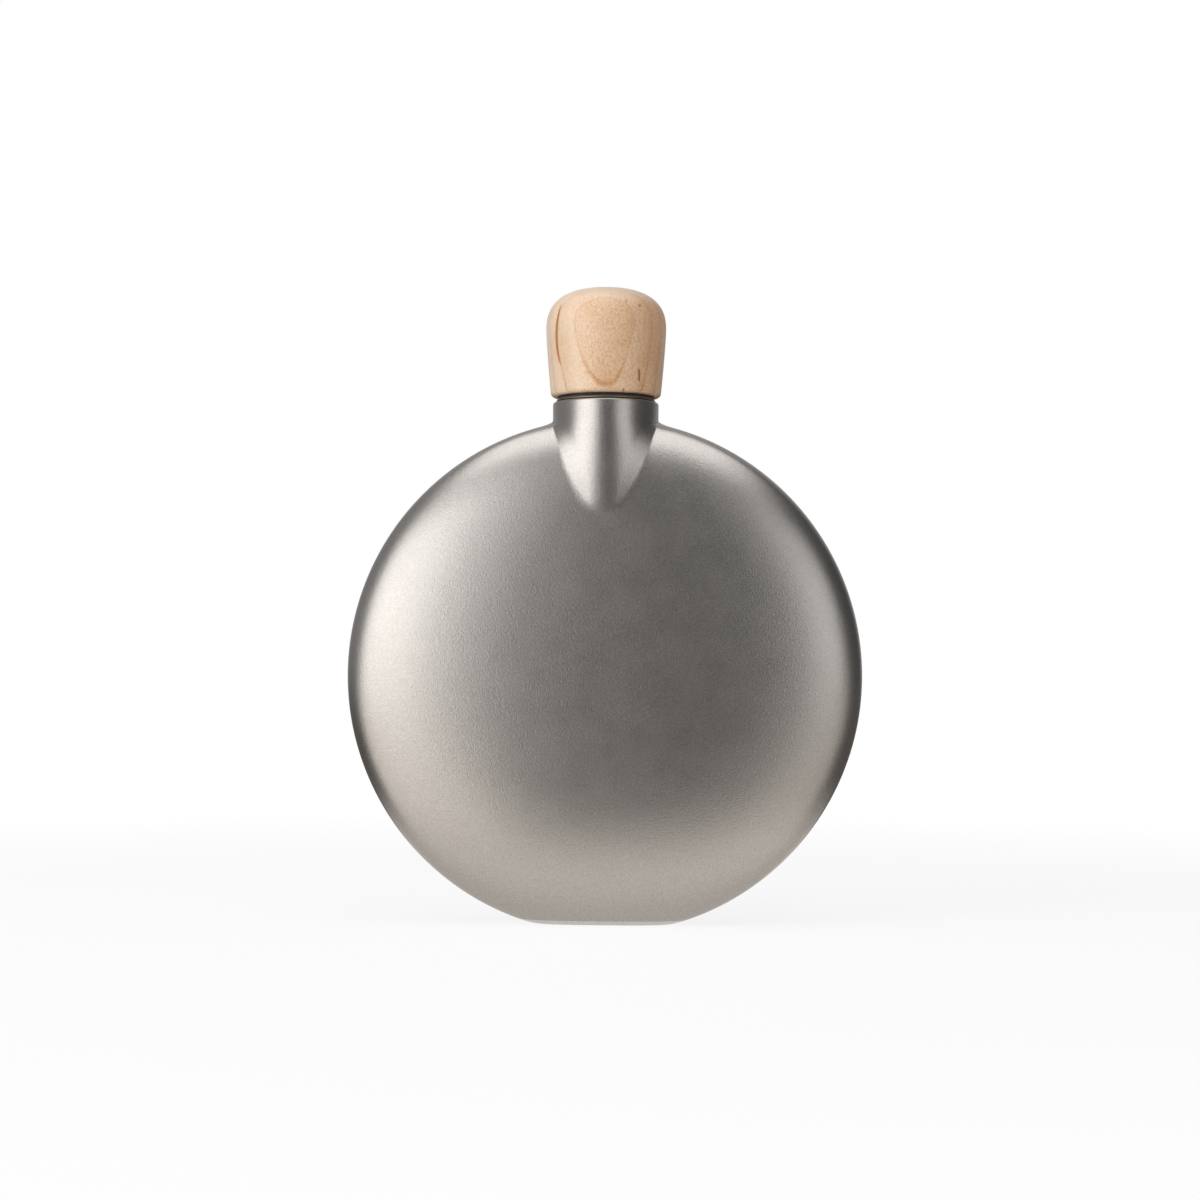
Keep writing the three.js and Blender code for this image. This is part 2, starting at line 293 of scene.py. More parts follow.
weldedTitaniumPaintedShade = {
    "dark": (0.030, 0.028, 0.026),
    "light": (0.070, 0.064, 0.058),
    "ripple": 1500,  # ripples per metre along the bead
    "rippleDepth": 0.02 * mm,
    "roughness": (0.38, 0.55),
}


def makeWeldedTitaniumPaintedShade():
    look = weldedTitaniumPaintedShade
    material, tree, shader, place, axes = startMaterial("welded titanium")
    ripple = noise(tree, place, look["ripple"], 2.0, 0.6)
    colour = blendColour(tree, spread(tree, ripple, 0.3, 0.7, 0.0, 1.0), look["dark"], look["light"])
    rough = spread(tree, ripple, 0.3, 0.7, *look["roughness"])
    normal = bumpOf(tree, ripple, 0.5, look["rippleDepth"])
    shader.inputs["Metallic"].default_value = 1.0
    plug(tree, shader, Base_Color=colour, Roughness=rough, Normal=normal)
    return material


# silicone ring: its near-black tone is painted shade, standing for the shadowed gap under the knob
siliconePaintedShade = {
    "dark": (0.030, 0.028, 0.026),
    "light": (0.055, 0.052, 0.048),
    "roughness": (0.42, 0.55),
    "cloud": 900,
    "cloudDepth": 0.02 * mm,
}


def makeSiliconePaintedShade():
    look = siliconePaintedShade
    material, tree, shader, place, axes = startMaterial("silicone in painted shade")
    cloud = noise(tree, place, look["cloud"], 3.0)
    colour = blendColour(tree, spread(tree, cloud, 0.3, 0.7, 0.0, 1.0), look["dark"], look["light"])
    rough = spread(tree, cloud, 0.3, 0.7, *look["roughness"])
    normal = bumpOf(tree, cloud, 0.2, look["cloudDepth"])
    plug(tree, shader, Base_Color=colour, Roughness=rough, Normal=normal)
    return material


plainBrass = {
    "dark": (0.52, 0.36, 0.13),
    "light": (0.70, 0.50, 0.20),
    "roughness": (0.28, 0.42),
    "marks": (900, 900, 9000),  # tool marks per metre
    "markDepth": 0.01 * mm,
}


def makePlainBrass():
    look = plainBrass
    material, tree, shader, place, axes = startMaterial("plain brass")
    marks = noise(tree, place, 1.0, 2.0, 0.6, look["marks"])
    colour = blendColour(tree, spread(tree, marks, 0.3, 0.7, 0.0, 1.0), look["dark"], look["light"])
    rough = spread(tree, marks, 0.3, 0.7, *look["roughness"])
    normal = bumpOf(tree, marks, 0.4, look["markDepth"])
    shader.inputs["Metallic"].default_value = 1.0
    plug(tree, shader, Base_Color=colour, Roughness=rough, Normal=normal)
    return material


turnedMaple = {
    "tones": (  # paler on the left and warmer on the right: partly the maple's own tone, partly painted light on the left and painted shade on the right
        (0.0, (0.85, 0.68, 0.53)),
        (0.5, (0.80, 0.58, 0.40)),
        (1.0, (0.77, 0.52, 0.34)),
    ),
    "crown": (0.89, 0.76, 0.65),  # painted sheen of the top light, paler towards the top of the dome
    "topSheenRange": (136.5 * mm, 141.5 * mm),
    "late": (0.90, 0.79, 0.66),  # tints
    "line": (0.78, 0.56, 0.36),
    "speck": (0.86, 0.70, 0.51),
    "layerFirst": -11.72 * mm,  # depth of the growth line that shows as a loop on the front
    "layerStep": 3.5 * mm,
    "layerBow": 4.5,  # bend of the layers along the grain, per metre
    "bowHeight": 132 * mm,
    "sway": (120, 120, 45),  # scales of the patterns, per metre
    "swayDepth": 1.2 * mm,
    "fibre": (2600, 2600, 160),
    "specks": (3300, 3300, 2000),
    "pores": (5200, 5200, 900),
    "cloud": (260, 260, 150),
    "poreDepth": 0.03 * mm,
    "halfWidth": 13 * mm,  # of the knob, for the tones with painted side light and shade
    "lineFade": (120 * mm, 127 * mm),  # heights between which the growth lines get fainter
    "speckFade": (-9 * mm, -1 * mm),  # from where to where across the front the specks come in
    "roughness": (0.36, 0.46),
    "coat": 0.45,  # thin oil finish
    "coatRoughness": 0.34,
    "marks": (  # colour, place across, height, half width, half length, bend
        ((0.470, 0.180, 0.045), -10.70 * mm, 130.6 * mm, 0.33 * mm, 7.5 * mm, 22.0),
        ((0.340, 0.120, 0.040), 7.65 * mm, 121.5 * mm, 0.27 * mm, 1.6 * mm, 6.0),
        ((0.450, 0.200, 0.090), 7.70 * mm, 136.8 * mm, 0.27 * mm, 0.5 * mm, 0.0),
        ((0.560, 0.290, 0.150), 4.80 * mm, 137.6 * mm, 0.30 * mm, 0.5 * mm, 0.0),
        ((0.450, 0.190, 0.085), 4.25 * mm, 118.0 * mm, 0.25 * mm, 0.5 * mm, 0.0),
    ),
}


def woodMark(tree, axes, x, z, width, length, bend):
    # a short streak along the grain on the front, 1 in its middle and 0 past its edge
    up = calc(tree, "SUBTRACT", axes[2], z)
    bow = calc(tree, "MULTIPLY", calc(tree, "POWER", up, 2.0), bend)
    side = calc(tree, "SUBTRACT", calc(tree, "SUBTRACT", axes[0], x), bow)
    across = calc(tree, "POWER", calc(tree, "DIVIDE", side, width), 2.0)
    along = calc(tree, "POWER", calc(tree, "DIVIDE", up, length), 4.0)
    shape = calc(tree, "SUBTRACT", 1.0, calc(tree, "ADD", across, along))
    front = calc(tree, "LESS_THAN", axes[1], 0.0)
    return calc(tree, "MULTIPLY", spread(tree, shape, 0.0, 0.8, 0.0, 1.0), front)


def woodToneWithPaintedSideLight(tree, axes, look):
    # tone across the knob from left to right: partly the wood's own colour, partly painted light on the left
    # side and painted shade on the right side
    tones = look["tones"]
    edge = look["halfWidth"]
    place = addNode(tree, "ShaderNodeMapRange", {"Value": axes[0], "From Min": -edge, "From Max": edge})
    ramp = addNode(tree, "ShaderNodeValToRGB", {0: place.outputs["Result"]})
    elements = ramp.color_ramp.elements
    elements.remove(elements[1])
    elements[0].color = (*tones[0][1], 1)
    for at, colour in tones[1:]:
        elements.new(at).color = (*colour, 1)
    return ramp.outputs[0]


def woodLayer(tree, place, axes, look):
    # 0 to 1 through each year's growth
    sway = noise(tree, place, 1.0, 2.0, 0.5, look["sway"])
    up = calc(tree, "SUBTRACT", axes[2], look["bowHeight"])
    bow = calc(tree, "MULTIPLY", calc(tree, "POWER", up, 2.0), look["layerBow"])
    depth = calc(tree, "ADD", axes[1], bow)
    shift = calc(tree, "MULTIPLY", calc(tree, "SUBTRACT", sway, 0.5), look["swayDepth"])
    depth = calc(tree, "ADD", depth, shift)
    years = calc(tree, "DIVIDE", calc(tree, "SUBTRACT", depth, look["layerFirst"]), look["layerStep"])
    return calc(tree, "FRACT", years)


def makeTurnedMaple():
    look = turnedMaple
    material, tree, shader, place, axes = startMaterial("turned maple")
    layer = woodLayer(tree, place, axes, look)
    fibre = noise(tree, place, 1.0, 3.0, 0.6, look["fibre"])
    speck = noise(tree, place, 1.0, 2.0, 0.6, look["specks"])
    pores = noise(tree, place, 1.0, 1.0, 0.5, look["pores"])
    cloud = noise(tree, place, 1.0, 2.0, 0.5, look["cloud"])
    colour = woodToneWithPaintedSideLight(tree, axes, look)
    colour = blendColour(tree, spread(tree, layer, 0.45, 0.95, 0.0, 0.45), colour, look["late"], "MULTIPLY")
    lower = spread(tree, axes[2], *look["lineFade"], 0.85, 0.28)
    before = spread(tree, layer, 0.93, 1.0, 0.0, 1.0)
    after = spread(tree, layer, 0.0, 0.06, 1.0, 0.0)
    edge = calc(tree, "MAXIMUM", before, after)
    colour = blendColour(tree, calc(tree, "MULTIPLY", edge, lower), colour, look["line"], "MULTIPLY")
    amount = spread(tree, axes[0], *look["speckFade"], 0.45, 1.0)
    specked = calc(tree, "MULTIPLY", spread(tree, speck, 0.40, 0.66, 0.0, 1.0), amount)
    colour = blendColour(tree, specked, colour, look["speck"], "MULTIPLY")
    colour = blendColour(tree, spread(tree, cloud, 0.45, 0.75, 0.0, 0.5), colour, look["late"], "MULTIPLY")
    colour = blendColour(tree, spread(tree, fibre, 0.5, 0.8, 0.0, 0.4), colour, look["late"], "MULTIPLY")
    colour = blendColour(tree, spread(tree, pores, 0.62, 0.78, 0.0, 0.5), colour, look["line"], "MULTIPLY")
    # painted sheen: the top of the dome is blended towards a paler tone where the top light falls
    crown = spread(tree, axes[2], *look["topSheenRange"], 0.0, 0.5)
    colour = blendColour(tree, crown, colour, look["crown"])
    for stain, *shape in look["marks"]:
        colour = blendColour(tree, woodMark(tree, axes, *shape), colour, stain)
    rough = spread(tree, fibre, 0.3, 0.7, *look["roughness"])
    normal = bumpOf(tree, fibre, 0.25, look["poreDepth"])
    normal = bumpOf(tree, pores, 0.20, look["poreDepth"], normal)
    shader.inputs["Coat Weight"].default_value = look["coat"]
    shader.inputs["Coat Roughness"].default_value = look["coatRoughness"]
    plug(tree, shader, Base_Color=colour, Roughness=rough, Normal=normal)
    return material


# the flask body: a flat round disc with a full edge, which a straight round neck grows out of

shell = levels("front_shell")
seam = levels("seam_weld")
ring = levels("mouth_ring")
bodyRadius = seam["radius"]
bodyHalf = -shell["front"]
neckTop = shell["top"]
neckRadius = ring["radius"]
seamHalf = seam["back"]

flaskBody = {
    "footCut": 2.2 * mm,  # height of the round edge that the flat foot takes off
    "wall": 0.6 * mm,
    "discPower": 2.5,  # how far out the broad faces stay flat, where 2 is an ellipse
    "depthPower": 3.5,  # fullness of the disc's edge, where 2 is an ellipse
    "facetTop": 0.6 * mm,  # below the top of the disc, where the neck's sides turn into flat facets
    "facetTurn": 1.2 * mm,  # over which they turn
    "facetSlope": 0.76,  # of the facets at their top
    "facetLength": 7.6 * mm,  # down to where they have half of that slope
    "facetFade": 1.5,  # how quickly the slope falls off
    "facetEnd": 66,  # degrees round from the front, past which the sides run straight back
    "crownGrowth": 0.36,  # how the rounded crown between them widens on its way down
    "shoulderBlend": 5.0 * mm,  # fillet between neck and disc at the two sides
    "creaseBlend": 0.2 * mm,  # the same at the front and back, where the pressing leaves a crease
    "creaseRange": (18, 66),  # degrees round from the front
    "tipStart": 18.3 * mm,  # below the top of the disc, from where the neck's front sinks into the disc
    "tipLength": 3.4 * mm,
    "tipSink": 0.42 * mm,  # how far it sinks over that length
    "tipBlend": 0.20 * mm,  # how soft the crease gets there
    "footRound": 0.8 * mm,  # round edge of the foot
    "rimRound": 0.48 * mm,
    "sideTurn": 30,  # how closely the fillet keeps to the two sides
    "rows": (7, 42, 26, 56, 4, 5),  # foot's edge, disc's lower half, up to the neck, beside it, neck, rim
    "columns": (30, 44),  # in a quarter of the neck, and of the disc beside it
    "gather": 1.4,  # how closely the columns gather at the crease
    "seamColumns": 7,  # across the seam
    "footColumns": 9,  # along the seam under the foot
}
bodyCentre = bodyRadius - flaskBody["footCut"]


def smoothMax(first, second, reach):
    near = np.maximum(reach - np.abs(first - second), 0) / reach
    return np.maximum(first, second) + near * near * reach / 4


def crossing(isBelow, low, high):
    # halves the span between low and high until it closes on the place where isBelow ends
    for _ in range(50):
        middle = (low + high) / 2
        below = isBelow(middle)
        low = np.where(below, middle, low)
        high = np.where(below, high, middle)
    return (low + high) / 2


def discReach(angle, height, inset):
    radius = bodyRadius - inset
    half = bodyHalf - inset
    rise = np.clip(height - bodyCentre, -radius, radius)

    def isInside(far):
        across = np.hypot(far * np.sin(angle), rise) / radius
        deep = np.abs(far * np.cos(angle)) / half
        return across ** flaskBody["discPower"] + deep ** flaskBody["depthPower"] < 1

    low = np.zeros(np.broadcast(angle, height).shape)
    return crossing(isInside, low, low + radius)


def stemReach(angle, height, inset):
    # the neck: round at the top, and further down a rounded crown between two flat facets
    look = flaskBody
    depth = np.maximum(bodyCentre + bodyRadius - look["facetTop"] - height, 1e-9)
    slope = look["facetSlope"] / (1 + (depth / look["facetLength"]) ** look["facetFade"])
    tilt = np.arctan(np.hypot(slope, look["facetTurn"] / depth))
    back = look["crownGrowth"] * depth
    crown = neckRadius - inset + back
    rounded = np.sqrt(crown ** 2 - (back * np.sin(angle)) ** 2) - back * np.cos(angle)
    turn = np.minimum(angle, np.maximum(math.radians(look["facetEnd"]), tilt))
    straight = np.sin(turn) / np.maximum(np.sin(angle), 1e-9)
    flat = (crown - back * np.cos(tilt)) / np.cos(turn - tilt) * straight
    flat = np.maximum(flat, neckRadius - inset)
    start = np.arctan2(crown * np.sin(tilt), crown * np.cos(tilt) - back)
    return np.where(height > bodyCentre, np.where(angle < start, rounded, flat), 0)


def bodyPoint(angle, height, inset):
    # angle runs round from the front, and inset draws the form in on all sides
    disc = discReach(angle, height, inset)
    look = flaskBody
    tip = np.clip((bodyCentre + bodyRadius - height - look["tipStart"]) / look["tipLength"], 0, 2)
    stem = stemReach(np.abs(angle), height, inset) - look["tipSink"] * tip ** 2
    crease = look["creaseBlend"] + look["tipBlend"] * np.minimum(tip, 1)
    side = np.sin(angle) ** look["sideTurn"]
    far = smoothMax(disc, stem, crease + (look["shoulderBlend"] - crease) * side)
    if inset == 0:
        for edge, over in ((look["rimRound"], height - neckTop), (look["footRound"], -height)):
            over = np.clip(over + edge, 0, edge)
            far = far - edge + np.sqrt(edge ** 2 - over ** 2)
    return np.stack([far * np.sin(angle), -far * np.cos(angle), height + 0 * angle], -1)


def bodyNormal(points, inset):
    angle = np.arctan2(points[:, 0], -points[:, 1])
    height = points[:, 2]
    turn = 2e-5
    climb = 2e-7
    across = bodyPoint(angle + turn, height, inset) - bodyPoint(angle - turn, height, inset)
    up = bodyPoint(angle, height + climb, inset) - bodyPoint(angle, height - climb, inset)
    normal = np.cross(across, up)
    return normal / np.linalg.norm(normal, axis=1, keepdims=True)


def angleAt(depth, height, inset):
    # the angle at which the form is depth in front of the middle plane
    low = np.zeros_like(height)
    return crossing(lambda angle: -bodyPoint(angle, height, inset)[..., 1] > depth, low, low + np.pi / 2)


def rowHeights(inset):
    radius = bodyRadius - inset
    counts = flaskBody["rows"]
    footEdge = flaskBody["footRound"]
    foot = inset + footEdge * (1 - np.cos(np.linspace(0, np.pi / 2, counts[0], endpoint=False)))
    lowest = math.asin((inset + footEdge - bodyCentre) / radius)
    low = np.array(bodyCentre)
    tip = crossing(lambda z: neckRadius - inset < discReach(0.0, z, inset), low, low + radius)
    neckStart = math.asin((float(tip) - bodyCentre) / radius)
    turns = np.concatenate([
        np.linspace(lowest, 0, counts[1], endpoint=False),
        np.linspace(0, neckStart, counts[2], endpoint=False),
        np.linspace(neckStart, np.pi / 2, counts[3], endpoint=False),
    ])
    discTop = bodyCentre + radius
    edge = neckTop - flaskBody["rimRound"]
    neck = np.linspace(discTop, edge, counts[4], endpoint=False)
    rim = edge + flaskBody["rimRound"] * np.sin(np.linspace(0, np.pi / 2, counts[5]))
    return np.concatenate([foot, bodyCentre + radius * np.sin(turns), neck, rim])


def halfAngles(height, inset):
    # columns from the front to the seam, gathered at the crease where neck and disc meet
    radius = bodyRadius - inset
    half = bodyHalf - inset
    least, most = np.radians(flaskBody["creaseRange"])
    low = np.full_like(height, least)

    def isNeck(angle):
        return discReach(angle, height, inset) < stemReach(angle, height, inset)

    crease = crossing(isNeck, low, low - least + most)[:, None]
    edge = angleAt(seamHalf, height, inset)[:, None]
    neckSteps = np.linspace(0, 1, flaskBody["columns"][0], endpoint=False)
    wingSteps = np.linspace(0, 1, flaskBody["columns"][1] + 1)
    start = np.arctan2(half * np.sin(crease), radius * np.cos(crease))
    end = np.arctan2(half * np.sin(edge), radius * np.cos(edge))
    turns = start + (end - start) * wingSteps ** flaskBody["gather"]
    wing = np.arctan2(radius * np.sin(turns), half * np.cos(turns))
    return np.concatenate([crease * (1 - (1 - neckSteps) ** flaskBody["gather"]), wing], 1)


def skinOf(inset):
    heights = rowHeights(inset)
    right = halfAngles(heights, inset)
    angles = np.concatenate([-right[:, :0:-1], right], 1)
    return bodyPoint(angles, heights[:, None], inset)


def setBodyNormals(mesh, kinds, mirror):
    # outer and inner skin get the form's own normals, cut edges keep their faces' normals
    loops = np.zeros(len(mesh.loops), int)
    mesh.loops.foreach_get("vertex_index", loops)
    starts = np.zeros(len(mesh.polygons), int)
    counts = np.zeros(len(mesh.polygons), int)
    mesh.polygons.foreach_get("loop_start", starts)
    mesh.polygons.foreach_get("loop_total", counts)
    flat = np.zeros(len(mesh.polygons) * 3)
    mesh.polygons.foreach_get("normal", flat)
    places = np.zeros(len(mesh.vertices) * 3)
    mesh.vertices.foreach_get("co", places)
    places = places.reshape(-1, 3)
    flip = np.array((1, -1 if mirror else 1, 1))
    owner = np.repeat(np.arange(len(mesh.polygons)), counts)
    normals = flat.reshape(-1, 3)[owner]
    at = places[loops] * flip
    for kind, inset, way in ((1, 0, 1), (2, flaskBody["wall"], -1)):
        chosen = kinds[owner] == kind
        normals[chosen] = way * bodyNormal(at[chosen], inset) * flip
    mesh.shade_smooth()
    mesh.normals_split_custom_set(normals.tolist())


def makePressing(name, mirror):
    outer = skinOf(0)
    inner = skinOf(flaskBody["wall"])
    rows, columns = outer.shape[:2]
    foot = outer[:1] * (1, 0, 1) + (0, -seamHalf, 0)
    floor = inner[:1] * (1, 0, 1) + (0, -seamHalf, 0)
    chain = np.concatenate([foot, outer, inner[::-1], floor])
    faces = gridFaces(len(chain), columns, True)
    segments = [0] + [1] * (rows - 1) + [0] + [2] * (rows - 1) + [0, 0]
    kinds = np.repeat(segments, columns - 1).tolist()
    last = len(chain) - 1
    for i in range(1, rows):
        for column in (0, columns - 1):
            cut = [i, i + 1, last - i - 1, last - i]
            if column:
                cut.reverse()
            faces.append([k * columns + column for k in cut])
            kinds.append(0)
    points = chain.reshape(-1, 3)
    if mirror:
        points = points * (1, -1, 1)
        faces = [face[::-1] for face in faces]
    mesh, marks = makeMesh(name, points, faces, kinds)
    setBodyNormals(mesh, marks, mirror)
    return mesh


def makeSeamBead(name):
    depths = np.linspace(-seamHalf, seamHalf, flaskBody["seamColumns"])
    rails = []
    for inset in (0, flaskBody["wall"]):
        heights = rowHeights(inset)
        side = np.zeros((len(heights), len(depths), 3))
        for j, depth in enumerate(depths):
            angle = angleAt(abs(depth), heights, inset)
            side[:, j] = bodyPoint(angle, heights, inset)
            side[:, j, 1] = depth
        mirrored = side * (-1, 1, 1)
        steps = np.linspace(0, 1, flaskBody["footColumns"])[1:-1, None, None]
        foot = side[:1] + (mirrored[:1] - side[:1]) * steps
        rails.append(np.concatenate([side[::-1], foot, mirrored]))
    outer, inner = rails
    section = np.concatenate([outer, inner[:, ::-1]], 1)
    stations, corners = section.shape[:2]
    faces = [face[::-1] for face in gridFaces(stations, corners, False, True)]
    sideRows = (stations - len(steps)) // 2
    count = len(depths)
    kinds = []
    for i in range(stations - 1):
        skin = 1 if i < sideRows - 1 or i >= stations - sideRows else 0
        kinds += [skin] * (count - 1) + [0] + [2 * skin] * (count - 1) + [0]
    for i in (0, stations - 1):
        for j in range(count - 1):
            cap = [j, j + 1, corners - 2 - j, corners - 1 - j]
            if i:
                cap.reverse()
            faces.append([i * corners + k for k in cap])
            kinds.append(0)
    mesh, marks = makeMesh(name, section.reshape(-1, 3), faces, kinds)
    setBodyNormals(mesh, marks, False)
    return mesh


blasted = makeBlastedTitanium()
weldPaintedShade = makeWeldedTitaniumPaintedShade()
turnedMetalPaintedShade = makeTurnedTitaniumPaintedShade()
frontSkin = makePressing("front_pressing", False)
rearSkin = makePressing("rear_pressing", True)
seamSkin = makeSeamBead("seam_bead")
placePiece("front_pressing", frontSkin, "flask", "front_shell", blasted)
placePiece("rear_pressing", rearSkin, "flask", "rear_shell", blasted)
placePiece("seam_bead", seamSkin, "flask", "seam_weld", blasted)

# mouth ring with its inside thread, and the fine weld under its lip

mouthRing = {
    "sleeveWall": 1.5 * mm,
    "sleeveOuter": neckRadius - 0.8 * mm,
    "lipInset": 0.72 * mm,  # how far the ring's lip stands inside the neck
    "lipLand": 0.15 * mm,
    "lipChamfer": 0.50 * mm,
    "lipRound": 0.25 * mm,
    "edge": 0.06 * mm,
    "footBevel": 0.3 * mm,
    "footRound": 0.2 * mm,
    "sides": 144,
}
jointBead = {
    "gap": 0.005 * mm,  # to the ring's sleeve
    "heel": 0.08 * mm,  # how far it reaches onto the neck's rim
    "setback": 0.02 * mm,  # behind the lip
    "hollow": 0.1 * mm,
}
thread = {
    "pitch": 2.5 * mm,
    "turns": 2,
    "lead": 2.0 * mm,  # lip to the upper end of the ring's thread
    "depth": 0.97 * mm,
    "baseHalf": 0.61 * mm,
    "crestHalf": 0.28 * mm,
    "runout": 0.14,
    "clearance": 1.3 * mm,  # plug's core below the ring's bore
    "rowStep": 0.09 * mm,
}
bore = mouthRing["sleeveOuter"] - mouthRing["sleeveWall"]
weld = levels("mouth_weld")
ringThread = dict(thread, root=bore, start=ring["top"] - thread["lead"] - thread["turns"] * thread["pitch"])
ringThread["depth"] = -thread["depth"]


def makeMouthRing(name):
    look = mouthRing
    lip = ring["top"]
    bevel = look["lipRound"]
    foot = ring["bottom"] + look["footBevel"]
    outer = neckRadius - look["lipInset"]
    profile = roundCorners([
        (bore, foot, 0),
        (bore + look["footBevel"], ring["bottom"], 0),
        (look["sleeveOuter"], ring["bottom"], look["footRound"]),
        (look["sleeveOuter"], weld["top"], 0),
        (outer, weld["top"], look["edge"]),
        (outer, weld["top"] + look["lipLand"], look["edge"] / 2),
        (outer - look["lipChamfer"], lip, look["edge"]),
        (bore + bevel, lip, look["edge"]),
    ])
    rows = round((lip - bevel - ring["bottom"]) / thread["rowStep"])
    profile += upright(bore, lip - bevel, foot, rows)[:-1]
    return turnedMesh(name, profile, look["sides"], True, ringThread)


def makeJointLine(name):
    # a hollow bead from the sleeve out onto the neck's rim
    look = jointBead
    inner = mouthRing["sleeveOuter"] + look["gap"]
    heel = neckRadius - flaskBody["wall"] + look["heel"]
    upper = neckRadius - mouthRing["lipInset"] - look["setback"]
    middle = (weld["bottom"] + weld["top"]) / 2
    profile = roundCorners([
        (inner, weld["bottom"], 0),
        (heel, weld["bottom"], 0),
        ((heel + 3 * upper) / 4, middle, look["hollow"]),
        (upper, weld["top"], 0),
        (inner, weld["top"], 0),
    ])
    return turnedMesh(name, profile, mouthRing["sides"], True)


mouthSkin = makeMouthRing("threaded_mouth")
jointSkin = makeJointLine("joint_line")
placePiece("threaded_mouth", mouthSkin, "flask", "mouth_ring", turnedMetalPaintedShade)
placePiece("joint_line", jointSkin, "flask", "mouth_weld", weldPaintedShade)

# stopper: plug, gasket, insert nut and knob

stopperPlug = {
    "stud": 3.0 * mm,
    "studBevel": 0.6 * mm,
    "recess": 4.5 * mm,
    "recessDepth": 6.0 * mm,
    "recessRound": 0.4 * mm,
    "tipBevel": 0.6 * mm,
    "edge": 0.12 * mm,
    "sides": 144,
}
stopper = levels("cap_plug")
gasket = levels("lip_gasket")
insert = levels("knob_insert")
core = bore - thread["clearance"]
plugThread = dict(thread, root=core, start=ringThread["start"] - thread["pitch"] / 2)


def makePlug(name):
    look = stopperPlug
    bottom = stopper["bottom"]
    shaft = bottom + look["tipBevel"]
    rows = round((gasket["top"] - shaft) / thread["rowStep"])
    head = stopper["radius"]
    tip = roundCorners([
        (0, bottom + look["recessDepth"], 0),
        (look["recess"], bottom + look["recessDepth"], look["recessRound"]),
        (look["recess"], bottom, look["edge"]),
        (core - look["tipBevel"], bottom, look["edge"]),
        (core, shaft, 0),
    ])[:-1]
    top = roundCorners([
        (core, gasket["top"], 0),
        (head, gasket["top"], look["edge"]),
        (head, insert["bottom"], look["edge"]),
        (look["stud"], insert["bottom"], 0),
        (look["stud"], stopper["top"] - look["studBevel"], 0),
        (look["stud"] - look["studBevel"], stopper["top"], 0),
        (0, stopper["top"], 0),
    ])[1:]
    profile = tip + upright(core, shaft, gasket["top"], rows) + top
    return turnedMesh(name, profile, look["sides"], False, plugThread)


siliconeRing = {
    "clearance": 0.3 * mm,  # round the plug
    "edge": 0.2 * mm,
    "sides": 120,
}


def makeGasket(name):
    look = siliconeRing
    inner = core + look["clearance"]
    profile = roundCorners([
        (inner, gasket["bottom"], look["edge"]),
        (gasket["radius"], gasket["bottom"], look["edge"]),
        (gasket["radius"], gasket["top"], look["edge"]),
        (inner, gasket["top"], look["edge"]),
    ])
    return turnedMesh(name, profile, look["sides"], True)


silicone = makeSiliconePaintedShade()
plugSkin = makePlug("threaded_plug")
ringSkin = makeGasket("silicone_ring")
placePiece("threaded_plug", plugSkin, "cap", "cap_plug", turnedMetalPaintedShade)
placePiece("silicone_ring", ringSkin, "seal", "lip_gasket", silicone)

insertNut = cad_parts["knob_insert"]  # hidden in the wood, so its CAD shape stays
insertNut.data.materials.clear()
insertNut.data.materials.append(makePlainBrass())
print("insert nut keeps its shape and gets its finish")

mapleKnob = {
    "overhang": 0.45 * mm,  # underside past the neck
    "skirt": 14.8 * mm,  # underside to the widest part
    "domePower": 2.6,  # squareness of the dome, where 2 is an ellipse
    "skirtPower": 1.25,  # bow of the taper below the widest part
    "edgeRound": 0.9 * mm,
    "pocketRadius": gasket["radius"] + 0.2 * mm,
    "pocketBore": insert["radius"] + 0.2 * mm,
    "pocketTop": stopper["top"] + 0.8 * mm,
    "pocketRound": (0.5 * mm, 0.2 * mm),  # at its top and at its mouth
    "steps": (8, 30, 44),  # edge, skirt, dome
    "sides": 160,
}
knob = levels("wood_knob")


def makeKnob(name):
    look = mapleKnob
    widest = knob["bottom"] + look["skirt"]
    dome = knob["top"] - widest
    flare = knob["radius"] - neckRadius - look["overhang"]
    edge = look["edgeRound"]
    edgeSteps, skirtSteps, domeSteps = look["steps"]
    topRound, mouthRound = look["pocketRound"]

    def skirtRadius(drop):
        return knob["radius"] - flare * (drop / look["skirt"]) ** look["skirtPower"]

    profile = roundCorners([
        (0, look["pocketTop"], 0),
        (look["pocketBore"], look["pocketTop"], topRound),
        (look["pocketBore"], insert["bottom"], 0),
        (look["pocketRadius"], insert["bottom"], mouthRound),
        (look["pocketRadius"], knob["bottom"], 0),
    ])
    corner = skirtRadius(look["skirt"] - edge)
    for i in range(edgeSteps):
        turn = math.pi / 2 * i / edgeSteps
        profile.append((corner - edge * (1 - math.sin(turn)), knob["bottom"] + edge * (1 - math.cos(turn))))
    for i in range(skirtSteps):
        drop = (look["skirt"] - edge) * (1 - i / skirtSteps)
        profile.append((skirtRadius(drop), widest - drop))
    for i in range(domeSteps):
        turn = math.pi / 2 * i / domeSteps
        rise = math.sin(turn) ** (2 / look["domePower"])
        profile.append((knob["radius"] * math.cos(turn) ** (2 / look["domePower"]), widest + dome * rise))
    profile.append((0, knob["top"]))
    return turnedMesh(name, profile, look["sides"], False)


placePiece("maple_knob", makeKnob("maple_knob"), "cap", "wood_knob", makeTurnedMaple())

# studio

